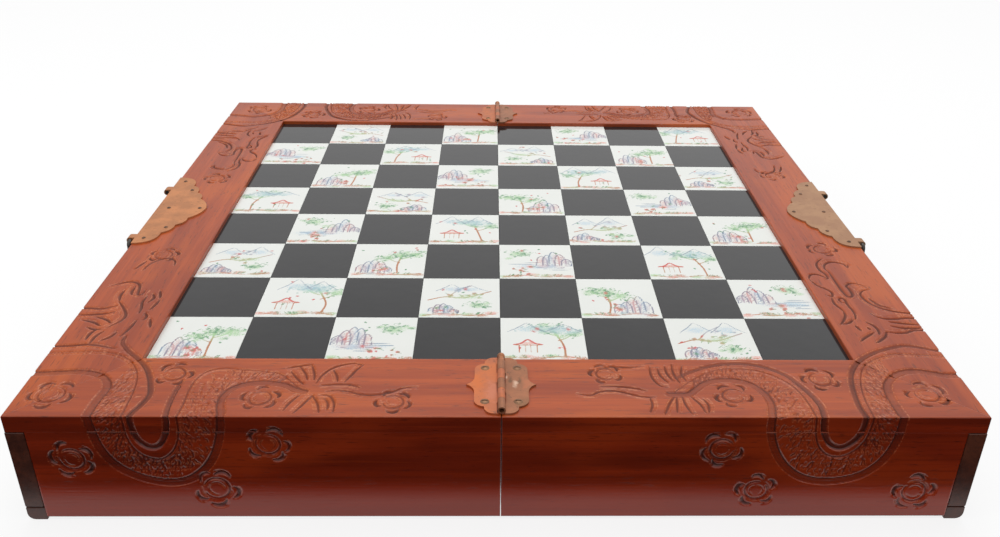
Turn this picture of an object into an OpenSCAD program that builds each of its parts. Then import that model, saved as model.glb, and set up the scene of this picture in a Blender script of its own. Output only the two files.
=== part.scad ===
// A folding chess box: two flat cases hinged along a seam, open flat in play.
// Carved frames edge the recessed squares, drawers open at both outer ends.
// +X runs to the right, +Y away from the player, +Z up, in millimetres.
// The origin is on the ground under the middle of the open box.

/* [Box] */
// Width of the open box across both halves, without handles and knobs
box_w = 480; // [440:5:520]
// Depth of the box from the near edge to the far edge
box_d = 480; // [440:5:520]
// Height from the ground to the top of the carved frame
box_h = 65; // [60:1:76]
// Gap between the two halves at the seam
seam_gap = 0.4; // [0.2:0.1:1]

/* [Carved frame] */
// Width of the frame boards around the squares
rail_w = 51; // [45:1:56]
// Thickness of the frame boards
rail_t = 9.5; // [8:0.5:12]
// Depth of the squares below the frame's top
recess = 3; // [2:0.5:4]
// Thickness of the squares
tile_t = 3; // [2:0.5:3.5]
// Gap between neighbouring squares
tile_gap = 0.1; // [0.05:0.05:0.4]

/* [Case] */
// Thickness of the front, back and seam walls
wall_t = 9; // [7:0.5:12]
// Clear height under the front and back walls
wall_lift = 1.5; // [0.5:0.5:3]
// Thickness of the panel under the squares
deck_t = 5; // [4:0.5:6]
// Thickness of the bottom panel
bottom_t = 4; // [3:0.5:5]
// Height of the sill under the drawer fronts
sill_h = 7.8; // [6:0.1:8]
// How far the drawer fronts stand proud of the frame's edge
front_proud = 0.6; // [0:0.1:1]
// Width of the fixed stile between the two drawers of an end
stile_w = 122; // [120:1:150]
// Thickness of the partitions behind the stile
partition_t = 6; // [4:1:9]

/* [Drawers] */
// Clearance around a drawer
drawer_play = 0.5; // [0.3:0.1:1]
// Thickness of a drawer front
front_t = 9.4; // [8:0.1:10]
// Length of a drawer's tray behind its front
tray_l = 216; // [180:1:218]
// Thickness of a tray's walls
tray_wall = 6; // [4:0.5:8]
// Thickness of a tray's floor
tray_floor = 3.5; // [3:0.5:5]
// Thickness of the cloth lining
lining_t = 1.2; // [0.8:0.1:2]
// Number of troughs in a tray
troughs = 4; // [3:1:5]
// Thickness of the dividers between troughs
divider_t = 3; // [2:0.5:5]
// Reach of a drawer knob in front of the drawer
knob_l = 11; // [8:1:16]

/* [Hinges] */
// Radius of the hinge barrel
barrel_r = 2; // [1.8:0.1:2.4]
// Radius of the hinge pin
pin_r = 1.25; // [1:0.05:1.3]
// Length of the hinge barrel
barrel_l = 42.5; // [41:0.5:43]
// Thickness of the brass sheet of hinges and plates
sheet_t = 1; // [0.8:0.1:1.2]
// Reach of a hinge leaf from the pin to its point
leaf_reach = 17.8; // [17.5:0.1:18.5]
// Distance from the box's middle to the points of the near hinge
near_hinge_y = 214; // [213:0.5:215]
// Distance from the box's middle to the points of the far hinge
far_hinge_y = 212.5; // [212:0.5:213]

/* [Handles] */
// Radius of the bail wire
bail_r = 1.5; // [1.2:0.1:1.6]
// Drop from the bail's pivot to its grip
bail_drop = 36; // [30:1:42]
// Outer radius of the curled knuckles
knuckle_r = 2.3; // [2.2:0.1:2.5]
// Length of a curled knuckle
knuckle_l = 5.5; // [5:0.5:8]
// Middle of the near knuckle
near_knuckle_y = -45; // [-46:0.5:-43]
// Middle of the far knuckle
far_knuckle_y = 35; // [33:0.5:37]

/* [Hidden] */

$fn = 48;
half_w = box_w / 2;
half_d = box_d / 2;
seam_x = seam_gap / 2;
field_x = half_w - rail_w;
field_y = half_d - rail_w;
rail_z = box_h - rail_t;
square_x = field_x / 4;
square_y = field_y / 4;
square_top = box_h - recess;
deck_z = rail_z - deck_t;
inner_y = half_d - wall_t;
seam_wall_x = seam_x + wall_t;
front_face_x = half_w + front_proud;
front_back_x = front_face_x - front_t;
case_end_x = front_back_x - 0.4;
bottom_z = 8 - bottom_t;
floor_z = bottom_z + bottom_t;

// The drawer beside the stile, in the near half of the end.
stile_y = stile_w / 2;
tray_y0 = -inner_y + drawer_play;
tray_y1 = -stile_y - drawer_play;
tray_x0 = front_back_x - tray_l;
tray_z0 = floor_z + drawer_play;
tray_z1 = deck_z - 1.5;
front_z1 = rail_z - drawer_play;
trough_z0 = tray_z0 + tray_floor + lining_t;
trough_x0 = tray_x0 + tray_wall;
trough_x1 = front_back_x - tray_wall;
trough_pitch = (trough_x1 - trough_x0 + divider_t) / troughs;
divider_z1 = tray_z1 - 4;

// The hinges lie on the frame, with their pins along the seam.
pin_z = box_h + barrel_r + 0.3;
knuckles = 5;
hinge_knuckle_l = barrel_l / knuckles;
barrel_near = -24;
leaf_gap = 0.35;
pin_clear = 0.05;
screw_x = 8.3;
screw_y = 14.7;
screw_r = 1.1;
screw_head_r = 2.3;
screw_head_h = 0.7;
screw_l = 7;
neck_r = 1.6;
neck_l = 3.5;
ball_r = 2.1;

// The half butterfly plate: depth and half length at each cusp, and the bulge of each lobe between them.
plate_cusps = [[0, 55.5], [14.6, 39.6], [20.4, 27.5], [25.7, 16.3], [33.8, 0]];
plate_lobes = [5.6, 2.3, 2.1, 1.8];
knuckle_x = half_w + knuckle_r + 1.1;
knuckle_z = box_h + sheet_t - knuckle_r;
bail_clear = 0.06;
bail_turn = 2.5;
bail_corner = 7;
near_arm_y = near_knuckle_y - knuckle_l / 2 - bail_turn;
far_arm_y = far_knuckle_y + knuckle_l / 2 + bail_turn;
nail_r = 0.6;
nail_head_r = 1.4;
nail_head_h = 0.5;
nail_l = 6;
nail_spots = [[6, 48], [15.5, 31.6], [29.5, 0], [15.5, -31.6], [6, -48], [8, 0]];

// Colours of the parts.
frame_colour = [0.66, 0.33, 0.22];
wall_colour = [0.30, 0.11, 0.06];
end_colour = [0.20, 0.12, 0.09];
panel_colour = [0.45, 0.28, 0.18];
dark_colour = [0.03, 0.03, 0.04];
light_colour = [0.93, 0.93, 0.90];
brass_colour = [0.70, 0.47, 0.27];
old_brass_colour = [0.45, 0.40, 0.33];
cloth_colour = [0.55, 0.08, 0.07];

// The case's right half is drawn; the left half mirrors it across the seam.
module right() {
    children();
}

module left() {
    mirror([1, 0, 0]) children();
}

// Drawers are drawn in the near half; the far ones mirror them.
module near() {
    children();
}

module far() {
    mirror([0, 1, 0]) children();
}

// A box from its low corner to its high corner.
module block(low, high) {
    translate(low) cube(high - low);
}

// Points of an arc about a centre, at even angles.
function arc(centre, r, from, to, steps = 12) = [
    for (i = [0:steps])
        let (a = from + (to - from) * i / steps)
        centre + r * [cos(a), sin(a)]
];

// Points of a shallow round lobe from p to q, bulging to the left of that way.
function lobe(p, q, bulge, steps = 8) = [
    for (i = [0:steps])
        let (
            t = i / steps,
            along = q - p,
            side = [-along[1], along[0]] / norm(along)
        )
        p + along * t + side * bulge * 4 * t * (1 - t)
];

// A board of the frame running along X, mitred where it meets the side board.
module long_rail_blank() {
    translate([0, 0, rail_z]) linear_extrude(rail_t)
        polygon([[seam_x, -half_d], [half_w, -half_d], [field_x, -field_y], [seam_x, -field_y]]);
}

module hinge_screw_holes(hinge_y) {
    for (y = [-screw_y, screw_y])
        translate([screw_x, hinge_y + y, box_h - screw_l]) cylinder(r = screw_r, h = screw_l + 1);
}

module front_rail() {
    color(frame_colour) difference() {
        long_rail_blank();
        hinge_screw_holes(-near_hinge_y);
    }
}

module back_rail() {
    color(frame_colour) difference() {
        mirror([0, 1, 0]) long_rail_blank();
        hinge_screw_holes(far_hinge_y);
    }
}

module side_rail() {
    color(frame_colour) difference() {
        translate([0, 0, rail_z]) linear_extrude(rail_t)
            polygon([[half_w, -half_d], [half_w, half_d], [field_x, field_y], [field_x, -field_y]]);
        for (spot = nail_spots)
            translate([half_w - spot[0], spot[1], box_h - nail_l]) cylinder(r = nail_r, h = nail_l + 1);
    }
}

module front_wall() {
    color(wall_colour) block([seam_x, -half_d, wall_lift], [case_end_x, -inner_y, rail_z]);
}

module back_wall() {
    color(wall_colour) block([seam_x, inner_y, wall_lift], [case_end_x, half_d, rail_z]);
}

module seam_wall() {
    color(wall_colour) block([seam_x, -inner_y, 0], [seam_wall_x, inner_y, rail_z]);
}

module stile() {
    color(end_colour) block([case_end_x, -stile_y, sill_h], [front_face_x, stile_y, rail_z]);
}

module partitions() {
    color(panel_colour) for (side = [-1, 1])
        translate([0, side * (stile_y - partition_t / 2), 0])
            block([seam_wall_x, -partition_t / 2, floor_z], [case_end_x, partition_t / 2, deck_z]);
}

// The outer bottom edge of the sill is rounded over.
module sill() {
    round_r = 4;
    color(wall_colour) translate([0, half_d, 0]) rotate([90, 0, 0]) linear_extrude(box_d)
        polygon(concat(
            [[case_end_x, 0]],
            arc([front_face_x - round_r, round_r], round_r, -90, 0),
            [[front_face_x, sill_h], [case_end_x, sill_h]]
        ));
}

module bottom() {
    color(panel_colour) block([seam_wall_x, -inner_y, bottom_z], [case_end_x, inner_y, floor_z]);
}

// The panel lies under the frame and rises inside it to carry the squares.
module deck() {
    color(panel_colour) union() {
        block([seam_wall_x, -inner_y, deck_z], [case_end_x, inner_y, rail_z]);
        block([seam_x, -field_y, rail_z], [field_x, field_y, square_top - tile_t]);
    }
}

// Every second square of four columns and eight rows, counted from the seam and the near edge.
module squares(parity) {
    inset = tile_gap / 2;
    for (column = [0:3], row = [0:7])
        if ((column + row) % 2 == parity)
            translate([column * square_x, -field_y + row * square_y, square_top - tile_t])
                block(
                    [column == 0 ? seam_x : inset, row == 0 ? 0 : inset, 0],
                    [square_x - (column == 3 ? 0 : inset), square_y - (row == 7 ? 0 : inset), tile_t]
                );
}

module dark_squares(parity) {
    color(dark_colour) squares(parity);
}

module light_squares(parity) {
    color(light_colour) squares(parity);
}

// Half of a butterfly: lobes between cusps, running to a point on the frame.
module plate_outline() {
    spans = len(plate_cusps) - 1;
    near_edge = [
        for (i = [0:spans - 1])
            each lobe(
                [half_w - plate_cusps[i][0], -plate_cusps[i][1]],
                [half_w - plate_cusps[i + 1][0], -plate_cusps[i + 1][1]],
                plate_lobes[i]
            )
    ];
    far_edge = [for (i = [len(near_edge) - 2:-1:0]) [near_edge[i][0], -near_edge[i][1]]];
    polygon(concat(near_edge, far_edge));
}

module curled_knuckle(y) {
    translate([knuckle_x, y + knuckle_l / 2, knuckle_z]) rotate([90, 0, 0]) cylinder(r = knuckle_r, h = knuckle_l);
    block(
        [half_w - 1, y - knuckle_l / 2, box_h],
        [knuckle_x, y + knuckle_l / 2, box_h + sheet_t]
    );
}

module handle_plate() {
    color(old_brass_colour) difference() {
        union() {
            translate([0, 0, box_h]) linear_extrude(sheet_t) plate_outline();
            curled_knuckle(near_knuckle_y);
            curled_knuckle(far_knuckle_y);
        }
        translate([knuckle_x, half_d, knuckle_z]) rotate([90, 0, 0]) cylinder(r = bail_r + bail_clear, h = box_d);
        for (spot = nail_spots)
            translate([half_w - spot[0], spot[1], box_h - 1]) cylinder(r = nail_r, h = sheet_t + 2);
    }
}

module plate_nails() {
    color(brass_colour) for (spot = nail_spots)
        translate([half_w - spot[0], spot[1], box_h]) {
            translate([0, 0, -nail_l]) cylinder(r = nail_r, h = nail_l + sheet_t);
            translate([0, 0, sheet_t]) cylinder(r1 = nail_head_r, r2 = nail_head_r * 0.6, h = nail_head_h);
        }
}

// A quarter bend of the bail's wire, about a centre in the plane of the bail.
module wire_bend(y, z, r, from) {
    translate([knuckle_x, y, z]) rotate([90, 0, 90]) rotate([0, 0, from])
        rotate_extrude(angle = 90) translate([r, 0]) circle(r = bail_r, $fn = 24);
}

module wire_along(y0, y1, z) {
    translate([knuckle_x, y1, z]) rotate([90, 0, 0]) cylinder(r = bail_r, h = y1 - y0, $fn = 24);
}

module wire_down(y, z0, z1) {
    translate([knuckle_x, y, z0]) cylinder(r = bail_r, h = z1 - z0, $fn = 24);
}

// The bail hangs outside the end of the case, with its ends in the knuckles.
module handle() {
    grip_z = knuckle_z - bail_drop;
    tail = knuckle_l + bail_turn;
    color(old_brass_colour) {
        wire_along(near_arm_y + bail_turn, near_arm_y + tail, knuckle_z);
        wire_along(far_arm_y - tail, far_arm_y - bail_turn, knuckle_z);
        wire_bend(near_arm_y + bail_turn, knuckle_z - bail_turn, bail_turn, 90);
        wire_bend(far_arm_y - bail_turn, knuckle_z - bail_turn, bail_turn, 0);
        wire_down(near_arm_y, grip_z + bail_corner, knuckle_z - bail_turn);
        wire_down(far_arm_y, grip_z + bail_corner, knuckle_z - bail_turn);
        wire_bend(near_arm_y + bail_corner, grip_z + bail_corner, bail_corner, 180);
        wire_bend(far_arm_y - bail_corner, grip_z + bail_corner, bail_corner, 270);
        wire_along(near_arm_y + bail_corner, far_arm_y - bail_corner, grip_z);
    }
}

// A leaf to the right of the pin: stepped lobes at its ends and an ogee point.
module leaf_outline() {
    body_x = 13.7;
    body_y = 18.7;
    body_r = 5.5;
    end_x = 8.6;
    end_y = 24.4;
    end_r = 5;
    point_y = 6.5;
    sweep_r = ((leaf_reach - body_x) ^ 2 + point_y ^ 2) / (2 * (leaf_reach - body_x));
    turn = asin(point_y / sweep_r);
    union() {
        for (side = [-1, 1]) {
            translate([0, side * body_y / 2]) square([2 * (body_x - body_r), body_y], center = true);
            translate([body_x - body_r, side * (body_y - body_r)]) circle(r = body_r);
            translate([0, side * end_y / 2]) square([2 * (end_x - end_r), end_y], center = true);
            translate([end_x - end_r, side * (end_y - end_r)]) circle(r = end_r);
            translate([0, side * (end_y - end_r) / 2]) square([2 * end_x, end_y - end_r], center = true);
        }
        square([2 * body_x, 2 * (body_y - body_r)], center = true);
        polygon(concat(
            [[0, point_y]],
            arc([body_x + sweep_r, point_y], sweep_r, 180, 180 + turn),
            arc([body_x + sweep_r, -point_y], sweep_r, 180 - turn, 180),
            [[0, -point_y]]
        ));
    }
}

// One knuckle of the barrel, its place counted from the near end.
module hinge_knuckle(place) {
    translate([0, barrel_near + (place + 1) * hinge_knuckle_l, pin_z]) rotate([90, 0, 0])
        cylinder(r = barrel_r, h = hinge_knuckle_l);
}

// The leaf on the right of the pin carries the knuckles named in own.
module hinge_leaf(own) {
    end_gap = 0.1;
    difference() {
        union() {
            intersection() {
                translate([0, 0, box_h]) linear_extrude(sheet_t) leaf_outline();
                block([barrel_r * 0.75, -half_d, box_h], [half_w, half_d, pin_z]);
            }
            for (place = own) {
                hinge_knuckle(place);
                block(
                    [0, barrel_near + place * hinge_knuckle_l, box_h + 0.3],
                    [barrel_r + 1, barrel_near + (place + 1) * hinge_knuckle_l, box_h + sheet_t]
                );
            }
        }
        for (place = [0:knuckles - 1])
            if (len(search(place, own)) == 0)
                block(
                    [-barrel_r, barrel_near + place * hinge_knuckle_l - end_gap, box_h - 1],
                    [
                        barrel_r + leaf_gap,
                        barrel_near + (place + 1) * hinge_knuckle_l + end_gap,
                        pin_z + barrel_r + 1
                    ]
                );
        for (y = [-screw_y, screw_y])
            translate([screw_x, y, box_h - 1]) cylinder(r = screw_r, h = sheet_t + 2);
    }
}

module hinge_right_leaf(hinge_y) {
    color(brass_colour) translate([0, hinge_y, 0]) difference() {
        hinge_leaf([0, 2, 4]);
        translate([0, half_d, pin_z]) rotate([90, 0, 0]) cylinder(r = pin_r, h = box_d);
    }
}

module hinge_left_leaf(hinge_y) {
    color(brass_colour) translate([0, hinge_y, 0]) difference() {
        mirror([1, 0, 0]) hinge_leaf([1, 3]);
        translate([0, half_d, pin_z]) rotate([90, 0, 0]) cylinder(r = pin_r + pin_clear, h = box_d);
    }
}

// The pin stops inside the near knuckle, which shows an open end, and has a ball on a neck at its far end.
module hinge_pin(hinge_y) {
    start = barrel_near + hinge_knuckle_l * 0.7;
    end = barrel_near + barrel_l + 0.1;
    ball_y = end + neck_l + ball_r * 0.7;
    color(brass_colour) translate([0, hinge_y, pin_z]) {
        translate([0, ball_y, 0]) sphere(r = ball_r, $fn = 32);
        translate([0, ball_y, 0]) rotate([90, 0, 0]) cylinder(r = neck_r, h = ball_y - end);
        translate([0, ball_y, 0]) rotate([90, 0, 0]) cylinder(r = pin_r, h = ball_y - start);
    }
}

// Slotted screws with domed heads, two in each leaf of a half.
module hinge_screws() {
    dome_r = (screw_head_r ^ 2 + screw_head_h ^ 2) / (2 * screw_head_h);
    slot_w = 0.7;
    color(brass_colour) for (hinge_y = [-near_hinge_y, far_hinge_y], y = [-screw_y, screw_y])
        translate([screw_x, hinge_y + y, box_h]) {
            translate([0, 0, -screw_l]) cylinder(r = screw_r, h = screw_l + sheet_t);
            translate([0, 0, sheet_t]) difference() {
                intersection() {
                    translate([0, 0, screw_head_h - dome_r]) sphere(r = dome_r, $fn = 64);
                    cylinder(r = screw_head_r, h = screw_head_h);
                }
                translate([-screw_head_r, -slot_w / 2, screw_head_h / 3]) cube([2 * screw_head_r, slot_w, 1]);
            }
        }
}

module tray() {
    color(panel_colour) difference() {
        block([tray_x0, tray_y0, tray_z0], [front_back_x, tray_y1, tray_z1]);
        block(
            [trough_x0, tray_y0 + tray_wall, tray_z0 + tray_floor],
            [trough_x1, tray_y1 - tray_wall, tray_z1 + 1]
        );
    }
}

module drawer_front() {
    color(end_colour)
        block([front_back_x, -half_d, sill_h + drawer_play], [front_face_x, tray_y1, front_z1]);
}

module dividers() {
    color(panel_colour) for (i = [1:troughs - 1])
        translate([trough_x0 + i * trough_pitch - divider_t, 0, 0])
            block(
                [0, tray_y0 + tray_wall, trough_z0],
                [divider_t, tray_y1 - tray_wall, divider_z1]
            );
}

module lining() {
    color(cloth_colour) block(
        [trough_x0, tray_y0 + tray_wall, trough_z0 - lining_t],
        [trough_x1, tray_y1 - tray_wall, trough_z0]
    );
}

// A turned knob with a foot, a waist and a domed head.
module knob() {
    foot_r = 6;
    waist_r = 3;
    head_r = 6.5;
    color(brass_colour) translate([front_face_x, (tray_y0 + tray_y1) / 2, box_h / 2]) rotate([0, 90, 0])
        rotate_extrude()
            polygon(concat(
                [[0, 0], [foot_r, 0], [foot_r, 1], [waist_r, 2.5], [waist_r, knob_l / 2]],
                arc([0, knob_l - head_r], head_r, 25, 90)
            ));
}

right() front_rail();  // right_front_rail
right() side_rail();  // right_side_rail
right() back_rail();  // right_back_rail
right() front_wall();  // right_front_wall
right() back_wall();  // right_back_wall
right() seam_wall();  // right_seam_wall
right() stile();  // right_stile
right() partitions();  // right_partitions
right() sill();  // right_sill
right() bottom();  // right_bottom
right() deck();  // right_deck
right() dark_squares(1);  // right_dark_squares
right() light_squares(0);  // right_light_squares
right() handle_plate();  // right_handle_plate
right() plate_nails();  // right_plate_nails
right() handle();  // right_handle
left() front_rail();  // left_front_rail
left() side_rail();  // left_side_rail
left() back_rail();  // left_back_rail
left() front_wall();  // left_front_wall
left() back_wall();  // left_back_wall
left() seam_wall();  // left_seam_wall
left() stile();  // left_stile
left() partitions();  // left_partitions
left() sill();  // left_sill
left() bottom();  // left_bottom
left() deck();  // left_deck
left() dark_squares(0);  // left_dark_squares
left() light_squares(1);  // left_light_squares
left() handle_plate();  // left_handle_plate
left() plate_nails();  // left_plate_nails
left() handle();  // left_handle
hinge_right_leaf(-near_hinge_y);  // near_hinge_right_leaf
hinge_left_leaf(-near_hinge_y);  // near_hinge_left_leaf
hinge_pin(-near_hinge_y);  // near_hinge_pin
hinge_right_leaf(far_hinge_y);  // far_hinge_right_leaf
hinge_left_leaf(far_hinge_y);  // far_hinge_left_leaf
hinge_pin(far_hinge_y);  // far_hinge_pin
right() hinge_screws();  // right_hinge_screws
left() hinge_screws();  // left_hinge_screws
right() near() tray();  // right_near_tray
right() near() drawer_front();  // right_near_front
right() near() dividers();  // right_near_dividers
right() near() lining();  // right_near_lining
right() near() knob();  // right_near_knob
right() far() tray();  // right_far_tray
right() far() drawer_front();  // right_far_front
right() far() dividers();  // right_far_dividers
right() far() lining();  // right_far_lining
right() far() knob();  // right_far_knob
left() near() tray();  // left_near_tray
left() near() drawer_front();  // left_near_front
left() near() dividers();  // left_near_dividers
left() near() lining();  // left_near_lining
left() near() knob();  // left_near_knob
left() far() tray();  // left_far_tray
left() far() drawer_front();  // left_far_front
left() far() dividers();  // left_far_dividers
left() far() lining();  // left_far_lining
left() far() knob();  // left_far_knob
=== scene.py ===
"""A folding chess box of carved hardwood, open flat: squares, hinges, handles and drawers."""

import math

import bmesh
import bpy
import numpy as np
from mathutils import Matrix, Vector


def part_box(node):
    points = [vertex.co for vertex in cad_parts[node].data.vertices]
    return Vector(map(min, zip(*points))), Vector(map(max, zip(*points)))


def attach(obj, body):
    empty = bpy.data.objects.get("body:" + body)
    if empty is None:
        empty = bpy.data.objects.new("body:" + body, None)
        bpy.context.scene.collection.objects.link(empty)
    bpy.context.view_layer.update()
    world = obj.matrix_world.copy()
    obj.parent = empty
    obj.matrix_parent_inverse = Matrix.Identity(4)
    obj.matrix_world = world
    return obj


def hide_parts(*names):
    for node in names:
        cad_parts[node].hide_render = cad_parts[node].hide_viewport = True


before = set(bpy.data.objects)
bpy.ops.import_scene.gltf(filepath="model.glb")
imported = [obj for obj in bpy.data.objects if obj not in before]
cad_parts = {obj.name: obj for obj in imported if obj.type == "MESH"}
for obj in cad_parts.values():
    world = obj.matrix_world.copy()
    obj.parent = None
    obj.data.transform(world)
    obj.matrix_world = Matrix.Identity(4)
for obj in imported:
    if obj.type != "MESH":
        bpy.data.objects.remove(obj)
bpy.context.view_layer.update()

# The studio: a pale table under a wide soft light, seen from the player's side.
# The camera stands a forearm's length from the near edge and looks down on the box.
camera_place = (-0.0059, -0.6102, 0.3429)
camera_pitch = math.radians(27.56)
camera_yaw = math.radians(-1.42)
camera_roll = math.radians(0.94)
picture_width = 1000
focal_pixels = 944
optical_centre = (511, 262)
picture_centre = (500, 268.5)

camera_data = bpy.data.cameras.new("camera")
camera = bpy.data.objects.new("camera", camera_data)
bpy.context.scene.collection.objects.link(camera)
bpy.context.scene.camera = camera
camera_data.lens = camera_data.sensor_width * focal_pixels / picture_width
camera_data.shift_x = (picture_centre[0] - optical_centre[0]) / picture_width
camera_data.shift_y = (optical_centre[1] - picture_centre[1]) / picture_width
camera_data.clip_start = 0.01
level = Vector((-math.sin(camera_yaw), math.cos(camera_yaw), 0))
side = Vector((math.cos(camera_yaw), math.sin(camera_yaw), 0))
ahead = level * math.cos(camera_pitch) - Vector((0, 0, math.sin(camera_pitch)))
above = level * math.sin(camera_pitch) + Vector((0, 0, math.cos(camera_pitch)))
right = side * math.cos(camera_roll) + above * math.sin(camera_roll)
up = above * math.cos(camera_roll) - side * math.sin(camera_roll)
camera.matrix_world = Matrix.Translation(camera_place) @ Matrix((right, up, -ahead)).transposed().to_4x4()


class Value:
    """A shader socket that takes part in sums: each operator adds one Math node."""

    def __init__(self, shader, socket):
        self.shader = shader
        self.socket = socket

    def math(self, operation, other, flip=False):
        pair = (other, self) if flip else (self, other)
        return self.shader.node("Math", {"operation": operation}, {0: pair[0], 1: pair[1]})

    def __add__(self, other):
        return self.math("ADD", other)

    __radd__ = __add__

    def __sub__(self, other):
        return self.math("SUBTRACT", other)

    def __rsub__(self, other):
        return self.math("SUBTRACT", other, flip=True)

    def __mul__(self, other):
        return self.math("MULTIPLY", other)

    __rmul__ = __mul__


class Shader:
    """The node tree of a material or of the world. Its node() adds one node and gives back one output."""

    def __init__(self, owner):
        self.owner = owner
        owner.use_nodes = True
        self.tree = owner.node_tree
        self.tree.nodes.clear()

    def node(self, kind, settings=None, inputs=None, output=0):
        made = self.tree.nodes.new("ShaderNode" + kind)
        for name, value in (settings or {}).items():
            setattr(made, name, value)
        for name, value in (inputs or {}).items():
            if isinstance(value, Value):
                self.tree.links.new(value.socket, made.inputs[name])
            else:
                made.inputs[name].default_value = value
        return Value(self, made.outputs[output]) if made.outputs else None

    def mix(self, factor, first, second, blend="MIX"):
        """Lays the second colour over the first by factor."""
        colours = {"Factor": factor, 6: first, 7: second}
        for slot in (6, 7):
            if isinstance(colours[slot], tuple):
                colours[slot] = (*colours[slot], 1)
        settings = {"data_type": "RGBA", "blend_type": blend}
        return self.node("Mix", settings, colours, output=2)

    def noise(self, place, scale, detail=3.0, roughness=0.55, stretch=(1, 1, 1), shift=(0, 0, 0)):
        """Cloudy values from 0 to 1 on the piece; scale is in waves per metre."""
        waves = tuple(scale * part for part in stretch)
        moved = self.node("Mapping", None, {"Vector": place, "Scale": waves, "Location": shift})
        settings = {"Vector": moved, "Scale": 1.0, "Detail": detail, "Roughness": roughness}
        return self.node("TexNoise", None, settings)

    def ramp(self, value, stops):
        """The grey that the stops give for a value from 0 to 1; each stop is a place and its grey."""
        made = self.tree.nodes.new("ShaderNodeValToRGB")
        while len(made.color_ramp.elements) < len(stops):
            made.color_ramp.elements.new(1)
        for element, (place, grey) in zip(made.color_ramp.elements, stops):
            element.position = place
            element.color = (grey, grey, grey, 1)
        self.tree.links.new(value.socket, made.inputs[0])
        return Value(self, made.outputs[0])

    def part(self, vector, axis):
        """One coordinate of a vector: 0, 1 or 2 for x, y or z."""
        return self.node("SeparateXYZ", None, {0: vector}, output=axis)

    def place(self):
        """The point on the piece, in metres in the shared frame."""
        return self.node("TexCoord", output="Object")

    def cover(self, sockets):
        """Ends a material in one coated surface with these sockets, and gives back the material."""
        self.node("OutputMaterial", None, {"Surface": self.node("BsdfPrincipled", None, sockets)})
        return self.owner

    def step(self, value, low, high):
        """Rises smoothly from 0 to 1 as value goes from low to high."""
        settings = {"interpolation_type": "SMOOTHSTEP"}
        return self.node("MapRange", settings, {"Value": value, "From Min": low, "From Max": high})


world = bpy.data.worlds.new("studio")
bpy.context.scene.world = world
sky = Shader(world)
direction = sky.node("TexCoord", output="Generated")
height = sky.part(direction, 2)
from_left = sky.part(direction, 0) * 0.5 + 0.5
dome = sky.ramp(height, [(0.0, 0.42), (0.3, 0.42), (0.62, 0.72), (1.0, 0.9)])
glare = sky.ramp(height, [(0.0, 0.95), (0.45, 0.95), (0.68, 0.62), (1.0, 0.5)])
lean = sky.ramp(from_left, [(0.0, 0.6), (0.36, 0.86), (0.5, 0.95), (0.66, 1.0)])
glare = sky.mix(1.0, glare, lean, "MULTIPLY")
mirrored = sky.node("LightPath", output="Is Glossy Ray")
seen = sky.node("LightPath", output="Is Camera Ray")
shade = sky.mix(seen, sky.mix(mirrored, dome, glare), (1, 1, 1))
light = sky.node("Background", None, {"Color": shade, "Strength": 1.0})
sky.node("OutputWorld", None, {"Surface": light})


def softbox(name, place, size, power):
    """A rectangular soft lamp that faces the middle of the box."""
    lamp = bpy.data.lights.new(name, "AREA")
    lamp.shape = "RECTANGLE"
    lamp.size, lamp.size_y = size
    lamp.energy = power
    holder = bpy.data.objects.new(name, lamp)
    bpy.context.scene.collection.objects.link(holder)
    holder.location = place
    holder.rotation_euler = (-Vector(place)).to_track_quat("-Z", "Y").to_euler()


softbox("overhead_light", (0.1, 0.45, 1.5), (1.3, 0.9), 9.0)
softbox("left_light", (-1.2, -0.35, 1.1), (0.7, 0.7), 3.0)

floor_half = 6.0
floor_mesh = bpy.data.meshes.new("floor")
corners = [(-floor_half, -floor_half, 0), (floor_half, -floor_half, 0),
           (floor_half, floor_half, 0), (-floor_half, floor_half, 0)]
floor_mesh.from_pydata(corners, [], [(0, 1, 2, 3)])
floor = bpy.data.objects.new("floor", floor_mesh)
bpy.context.scene.collection.objects.link(floor)
table = bpy.data.materials.new("pale_table")
paper = Shader(table)
seen = paper.node("LightPath", output="Is Camera Ray")
mirrored = paper.node("LightPath", output="Is Glossy Ray")
sideways = paper.part(paper.place(), 0).math("ABSOLUTE", 0)
forward = paper.part(paper.place(), 1).math("ABSOLUTE", 0)
# Painted reflection: to glossy rays the table glows white in a band round the box and is near black beyond
# it, which lightens only the lower part of the varnished walls.
bright_reach, dark_reach = 0.252, 0.266
near_box = 1 - paper.step(sideways.math("MAXIMUM", forward), bright_reach, dark_reach)
mirror_shade = paper.mix(near_box, (0.02, 0.02, 0.02), (0.97, 0.97, 0.97))
plain = paper.node("BsdfDiffuse", None, {"Color": (0.30, 0.29, 0.285, 1)})
bright = paper.node("Emission", None, {"Color": mirror_shade, "Strength": 1.0})
lit = paper.node("BsdfDiffuse", None, {"Color": (0.95, 0.95, 0.955, 1)})
glow = paper.node("Emission", None, {"Color": (1, 1, 1, 1), "Strength": 1.0})
pale = paper.node("MixShader", None, {0: 0.82, 1: lit, 2: glow})
surface = paper.node("MixShader", None, {0: mirrored, 1: plain, 2: bright})
surface = paper.node("MixShader", None, {0: seen, 1: surface, 2: pale})
paper.node("OutputMaterial", None, {"Surface": surface})
floor_mesh.materials.append(table)
bpy.context.scene.view_settings.view_transform = "Standard"

# The frame's carving: dragons with double outlines and rows of scale marks coil over the
# corners and down the front and back, among rosettes, cut by hand with gouge and chisel.
# One map holds the depth, over the frame's top with the outer faces folded out flat.
mm = 0.001
half_w = round(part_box("right_side_rail")[1].x / mm, 3)
half_d = round(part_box("right_back_rail")[1].y / mm, 3)
box_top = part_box("right_front_rail")[1].z / mm
rail_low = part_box("right_front_rail")[0].z / mm
rail_inner = -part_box("right_front_rail")[1].y / mm
map_reach = 306.0
map_cell = 0.3
map_side = int(2 * map_reach / map_cell) + 1
carved = np.zeros((map_side, map_side), np.float32)


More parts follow.
